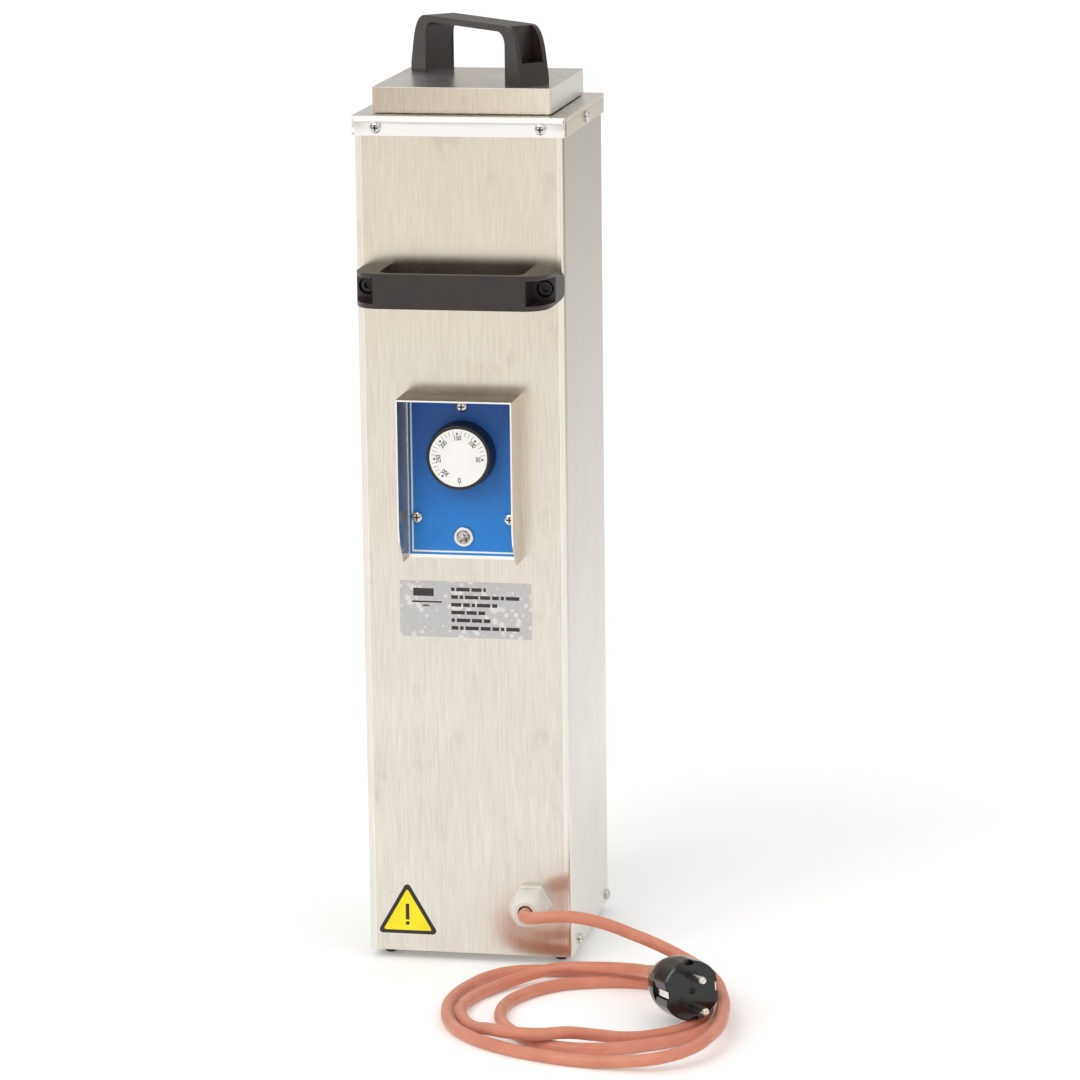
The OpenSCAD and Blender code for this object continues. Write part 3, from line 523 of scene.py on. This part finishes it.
# white enamelled dial: very smooth, a trace of orange peel
finishes["printed_dial"] = mouldedPlastic("whiteEnamelDial", ("#efeeea", "#f8f7f4"), (0.3, 0.4), 1.5, 0.01)
finishes["clear_lens"] = prismaticLens()

for nodeName, cadObject in frame["nodes"].items():
    cadObject.data.materials.clear()
    cadObject.data.materials.append(finishes[slotOf[nodeName]])
frame["nodes"]["warning_label"].data.materials[0] = darkPrint  # its rim is the triangle's border
print("materials made:", len(finishes))


cord = {
    "diameter": 7.6 * mm,
    "length": 1.58,
    # the middle line from the gland to the plug, measured from the casing's axis
    "route": [
        (39.3, -86, 40), (39.3, -90, 40.2), (41.5, -98, 41.2), (48, -104.5, 43), (58, -107, 44.8),
        (72, -107, 45.6), (90, -104, 41.9), (111.5, -100.5, 33.5), (130, -101, 26.3), (149, -110, 20.2),
        (160, -122, 18), (167, -134, 16.5), (172, -149, 15), (176, -165, 14), (178, -182, 13.5),
        (179, -203, 13), (176, -224, 12.5), (168, -243, 11), (152, -255, 8.5), (130, -256, 5.5),
        (104, -254, 4), (80, -248, 3.8), (54, -237, 3.8), (30, -219, 3.8), (16, -200, 3.8), (8, -176, 3.8),
        (6, -148, 3.8), (12, -122, 3.8), (20, -104, 3.8), (31, -93, 3.8), (45, -88, 3.8), (62, -86, 3.8),
        (80, -81, 3.8), (95, -78, 3.8), (114, -78, 3.8), (134, -82, 3.8), (150, -92, 3.8), (162, -108, 3.8),
        (169, -127, 3.8), (172, -148, 3.8), (172, -170, 3.8), (166, -190, 3.8), (152, -208.5, 3.8),
        (137, -219.5, 3.8), (122, -228, 3.8), (106, -232, 3.8), (90, -232, 3.8), (73, -226, 3.8),
        (58, -211, 3.8), (47, -195, 3.8), (41, -176, 3.8), (41, -153, 3.8), (47, -137, 3.8), (57, -122, 3.8),
        (69, -112, 3.8), (84, -106, 3.8), (98, -102.5, 3.8), (115, -102, 3.8), (132, -105, 3.8),
        (146, -113, 3.8), (156, -125, 3.8), (162, -140, 3.8), (163, -158, 3.8), (160, -176, 3.8),
        (152, -190, 3.8), (140, -201, 3.8), (124, -210, 4.5), (108, -217, 7.5), (92, -226, 11.3),
        (75, -233, 11.8), (58, -232, 11.6), (43, -220, 9), (30, -204, 4.5), (20, -187, 3.8), (15, -167, 3.8),
        (18, -146, 3.8), (26, -128, 4), (36, -114, 5), (50, -105, 8), (66, -102, 11.2), (82, -101, 11.6),
        (96, -101, 12), (109, -106, 13.5), (119.5, -118, 16.7), (129, -134.5, 20.4), (137.4, -148.6, 22.3),
    ],
}


def makeCord(values):
    curve = bpy.data.curves.new("silicone_power_cord", "CURVE")
    curve.dimensions = "3D"
    curve.bevel_depth = values["diameter"] / 2
    curve.bevel_resolution = 7
    curve.resolution_u = 8
    curve.use_fill_caps = True
    spline = curve.splines.new("BEZIER")
    spline.bezier_points.add(len(values["route"]) - 1)
    for point, (x, y, z) in zip(spline.bezier_points, values["route"]):
        point.co = Vector((x * mm, y * mm + axisY, z * mm))
        point.handle_left_type = point.handle_right_type = "AUTO"
    piece = bpy.data.objects.new("silicone_power_cord", curve)
    bpy.context.scene.collection.objects.link(piece)
    return settle(piece, "oven", finishes["salmon_silicone"], ["power_cord"])


powerCord = makeCord(cord)
print("cord made")


edgeRounding = {  # node: (piece name, rounding in mm, segments)
    "casing": ("brushed_casing", 0.15, 1),
    "back_panel": ("brushed_back_panel", 0.2, 1),
    "back_panel_screws": ("zinc_back_screws", 0.12, 2),
    "base_screws": ("zinc_base_screws", 0.12, 2),
    "feet": ("domed_rubber_feet", 0.2, 2),
    "top_collar": ("folded_top_collar", 0.3, 2),
    "collar_screws": ("zinc_collar_screws", 0.12, 2),
    "control_guard": ("folded_control_guard", 0.18, 2),
    "control_plate": ("printed_control_plate", 0.08, 1),
    "panel_screws": ("zinc_panel_screws", 0.12, 2),
    "thermostat_screws": ("zinc_thermostat_screws", 0.12, 2),
    "knob": ("phenolic_knob", 0.3, 2),
    "dial_disc": ("enamel_dial", 0.08, 1),
    "lamp_housing": ("lamp_bezel_ring", 0.25, 2),
    "lamp_lens": ("acrylic_lamp_lens", 0.1, 1),
    "front_handle": ("moulded_front_handle", 1.2, 3),
    "front_handle_screws": ("black_front_handle_screws", 0.25, 2),
    "lid_pan": ("folded_lid", 1.3, 3),
    "lid_inner_pan": ("pressed_inner_lid", 0.4, 2),
    "lid_handle": ("moulded_lid_handle", 1.2, 3),
    "lid_handle_screws": ("black_lid_handle_screws", 0.25, 2),
    "gland_body": ("nylon_gland_body", 0.5, 2),
    "gland_nut": ("nylon_gland_nut", 0.5, 2),
    "plug_body": ("polished_plug_body", 0.5, 3),
    "plug_pins": ("plated_plug_pins", 0.3, 2),
    "plug_earth_clips": ("plated_earth_clips", 0.15, 2),
}
for nodeName, (pieceName, width, segments) in edgeRounding.items():
    refine(nodeName, pieceName, width * mm, segments)
print("rounded copies made:", len(edgeRounding))


dial = {
    "numbers": {0: -88, 50: -3, 100: 45, 150: 92, 200: 138, 250: 183.5, 300: 229},  # degrees round the dial
    "digitHeight": (3.1 * mm, 2.6 * mm),  # the nought, the others
    "digitRadius": (14.2 * mm, 12.3 * mm),
    "fontScale": 1.38,  # text size over digit height
    "boldness": 0.05 * mm,
    "stretch": (1.0, 1.1),  # tall digits
    "dotRadius": 15.1 * mm,
    "dotSize": 0.68 * mm,
    "tick": (14.0 * mm, 16.9 * mm, 0.25 * mm),
    "ticksPerStep": 5,
    "noughtTick": 0.9 * mm,
    "inkThickness": 0.05 * mm,
}


def dialPoint(radius, degrees):
    low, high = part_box("dial_disc")
    angle = math.radians(degrees)
    centre = (low + high) / 2
    return Vector((centre.x + radius * math.cos(angle), low.y, centre.z + radius * math.sin(angle)))


def joinPieces(pieces, name):
    deselectAll()
    for piece in pieces:
        piece.select_set(True)
    bpy.context.view_layer.objects.active = pieces[0]
    bpy.ops.object.join()
    pieces[0].name = name
    return pieces[0]


def makeDialMarks(values):
    marks = []
    angles = list(values["numbers"].values())
    for number, degrees in values["numbers"].items():
        deselectAll()
        place = dialPoint(values["digitRadius"][number > 0], degrees)
        # a number reads from the rim: it stands upright at the top and turns with the dial
        turn = Matrix.Rotation(math.radians(90), 4, "X")
        spin = Matrix.Rotation(-math.radians(degrees - 90 if number else degrees + 90), 4, "Y")
        bpy.ops.object.text_add()
        digits = bpy.context.object
        digits.data.body = str(number)
        digits.data.align_x = "CENTER"
        digits.data.align_y = "CENTER"
        digits.data.size = values["digitHeight"][number > 0] * values["fontScale"]
        digits.data.space_character = 0.9
        digits.data.offset = values["boldness"]
        digits.data.extrude = values["inkThickness"] / 2
        stretch = Matrix.Diagonal((*values["stretch"], 1, 1))
        digits.matrix_world = Matrix.Translation(place) @ spin @ turn @ stretch
        bpy.ops.object.convert(target="MESH")
        placeInMesh(digits)
        marks.append(digits)
        if number:
            bpy.ops.object.select_all(action="DESELECT")
            bpy.ops.mesh.primitive_cylinder_add(vertices=16, radius=values["dotSize"],
                                                depth=values["inkThickness"],
                                                location=dialPoint(values["dotRadius"], degrees),
                                                rotation=(math.radians(90), 0, 0))
            placeInMesh(bpy.context.object)
            marks.append(bpy.context.object)
    steps = values["ticksPerStep"]
    ticks = [a + (b - a) * step / steps for a, b in zip(angles[1:-1], angles[2:]) for step in range(1, steps)]
    ticks.append(angles[0])
    inner, outer, width = values["tick"]
    for degrees in ticks:
        bpy.ops.object.select_all(action="DESELECT")
        start = inner if degrees != angles[0] else outer - values["noughtTick"]
        bpy.ops.mesh.primitive_cube_add(size=1, location=dialPoint((start + outer) / 2, degrees),
                                        rotation=(0, -math.radians(degrees), 0),
                                        scale=(outer - start, values["inkThickness"], width))
        placeInMesh(bpy.context.object)
        marks.append(bpy.context.object)
    piece = joinPieces(marks, "printed_dial_marks")
    settle(piece, "knob", greyPrint)


makeDialMarks(dial)
print("dial marks made")


lampLens = {
    "radius": 4.15 * mm,
    "rise": 1.9 * mm,
    "back": 1.6 * mm,  # the dome's foot, behind the lens's front
}


def makeLensFacets(values):
    # a shallow cut-glass dome in front of the lamp
    low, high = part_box("lamp_lens")
    centre = (low + high) / 2
    deselectAll()
    bpy.ops.mesh.primitive_ico_sphere_add(subdivisions=2, radius=1,
                                          location=(centre.x, low.y + values["back"], centre.z),
                                          scale=(values["radius"], values["rise"], values["radius"]))
    piece = bpy.context.object
    placeInMesh(piece)
    piece.name = "lamp_lens_facets"
    settle(piece, "oven", finishes["clear_lens"])


makeLensFacets(lampLens)
print("lamp lens made")


label = {
    "thickness": 0.04 * mm,
    "barHeight": 2.3 * mm,
    "margin": 3.6,
    "rowPitch": 4.9,
    "shortest": 2.2,
    "longer": 2.1,
    "gap": 1.1 * mm,
    "rows": [(-9, 13), (-9, 34), (-9, 20), (-9, 13.5), (-9, 15.5), (-9, 35)],  # left and right end in mm
    # marks at the left: their ends, and depths from the top, in mm
    "side": [(-33, -20, 4.5, 9.5), (-34, -15, 12.6, 13.6), (-27, -23, 15.0, 15.9)],
}


def printBar(low, high, front):
    bpy.ops.object.select_all(action="DESELECT")
    bpy.ops.mesh.primitive_cube_add(size=1, location=((low[0] + high[0]) / 2, front, (low[1] + high[1]) / 2),
                                    scale=(high[0] - low[0], label["thickness"], high[1] - low[1]))
    placeInMesh(bpy.context.object)
    return bpy.context.object


def makeLabelPrint(values):
    # rows of plain blocks stand for the printed lines: they hold no lettering
    low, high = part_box("rating_label")
    bars = []
    for row, (left, right) in enumerate(values["rows"]):
        top = high.z - (values["margin"] + row * values["rowPitch"]) * mm
        x, word = left * mm, 0
        while x < right * mm:
            width = (values["shortest"] + values["longer"] * ((row * 5 + word * 3) % 4)) * mm
            end = min(x + width, right * mm)
            bars.append(printBar((x, top - values["barHeight"]), (end, top), low.y))
            x, word = end + values["gap"], word + 1
    for left, right, top, bottom in values["side"]:
        bars.append(printBar((left * mm, high.z - bottom * mm), (right * mm, high.z - top * mm), low.y))
    piece = joinPieces(bars, "label_print")
    settle(piece, "oven", greyPrint)


triangle = {
    "radius": 18.1 * mm,
    "corner": 1.6 * mm,
    "thickness": 0.08 * mm,
    "centreHeight": 0.355,  # as a share of the label's height
    "bars": [(-2.2, 8.2, 1.15), (-5.6, -3.4, 1.1)],  # bottom, top and half width in mm
}


def trianglePlate(centre, radius, thickness, corner):
    deselectAll()
    bpy.ops.mesh.primitive_cylinder_add(vertices=3, radius=radius, depth=thickness, location=centre,
                                        rotation=(math.radians(90), 0, 0))
    piece = bpy.context.object
    placeInMesh(piece)
    if max(v.co.z for v in piece.data.vertices) - centre.z < 0.7 * radius:  # the point goes up
        for vertex in piece.data.vertices:
            vertex.co.z = 2 * centre.z - vertex.co.z
        piece.data.flip_normals()
    bpy.context.tool_settings.mesh_select_mode = (False, True, False)
    bpy.ops.object.mode_set(mode="EDIT")
    bpy.ops.mesh.select_all(action="DESELECT")
    bpy.ops.object.mode_set(mode="OBJECT")
    points = piece.data.vertices
    for edge in piece.data.edges:
        a, b = (points[i].co for i in edge.vertices)
        edge.select = abs(a.y - b.y) > thickness / 2
    bpy.ops.object.mode_set(mode="EDIT")
    bpy.ops.mesh.bevel(offset=corner, segments=5)
    bpy.ops.object.mode_set(mode="OBJECT")
    return piece


def makeTrianglePrint(values):
    # the dark label behind shows as a border round a yellow field with a plain bar and dot
    low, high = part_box("warning_label")
    middle = low.z + (high.z - low.z) * values["centreHeight"]
    centre = Vector(((low.x + high.x) / 2, low.y, middle))
    field = trianglePlate(centre, values["radius"], values["thickness"], values["corner"])
    field.name = "triangle_field"
    settle(field, "oven", finishes["yellow_label"])
    bars = [printBar((centre.x - half * mm, middle + bottom * mm), (centre.x + half * mm, middle + top * mm),
                     low.y - values["thickness"] / 2) for bottom, top, half in values["bars"]]
    settle(joinPieces(bars, "triangle_sign"), "oven", darkPrint)


makeLabelPrint(label)
makeTrianglePrint(triangle)
print("label prints made")


studio = {
    "floorSize": 40.0,
    "floorGlow": 0.14,
    "ceiling": 0.86,  # the room's light overhead, at the horizon in front and at the horizon behind
    "front": 0.34,
    "back": 0.42,
    # each sun's name, turn in degrees, strength and softness in degrees
    "suns": [("key_sun", (48, 0, -28), 1.0, 40), ("fill_sun", (60, 0, 55), 0.35, 60)],
}


def makeStudio(values):
    scene = bpy.context.scene
    scene.view_settings.view_transform = "Standard"
    bpy.ops.object.select_all(action="DESELECT")
    bpy.ops.mesh.primitive_plane_add(size=values["floorSize"], location=(0, 0, 0))
    floor = bpy.context.object
    floor.name = "studio_floor"
    material, tree, shader, coords = newMaterial("matteWhiteSweep", Roughness=0.9,
                                                 Emission_Strength=values["floorGlow"])
    shader.inputs["Emission Color"].default_value = hexColour("#ffffff")
    paper = grainNoise(tree, coords, (3, 3, 3))
    tree.links.new(ramp(tree, paper, [(0.3, "#f3f3f2"), (0.7, "#f7f7f6")]), shader.inputs["Base Color"])
    floor.data.materials.append(material)
    world = bpy.data.worlds.new("softbox_room")
    scene.world = world
    world.use_nodes = True
    tree = world.node_tree
    around = addNode(tree, "TexCoord").outputs["Generated"]
    direction = addNode(tree, "SeparateXYZ", {"Vector": around}).outputs
    behind = addNode(tree, "MapRange", {"Value": direction["Y"], "From Min": -0.4, "From Max": 0.6,
                                        "To Min": values["front"], "To Max": values["back"]}).outputs[0]
    height = addNode(tree, "MapRange", {"Value": direction["Z"], "From Min": 0.12,
                                        "From Max": 0.7}).outputs[0]
    light = addNode(tree, "MapRange", {"Value": height, "To Min": behind,
                                       "To Max": values["ceiling"]}).outputs[0]
    tint = ramp(tree, height, [(0.0, "#fff6ea"), (0.6, "#ffffff")])
    tree.links.new(tint, tree.nodes["Background"].inputs["Color"])
    tree.links.new(light, tree.nodes["Background"].inputs["Strength"])
    for name, turn, strength, angle in values["suns"]:
        light = bpy.data.lights.new(name, "SUN")
        light.energy = strength
        light.angle = math.radians(angle)
        lamp = bpy.data.objects.new(name, light)
        scene.collection.objects.link(lamp)
        lamp.rotation_euler = [math.radians(a) for a in turn]


makeStudio(studio)

print("finished")
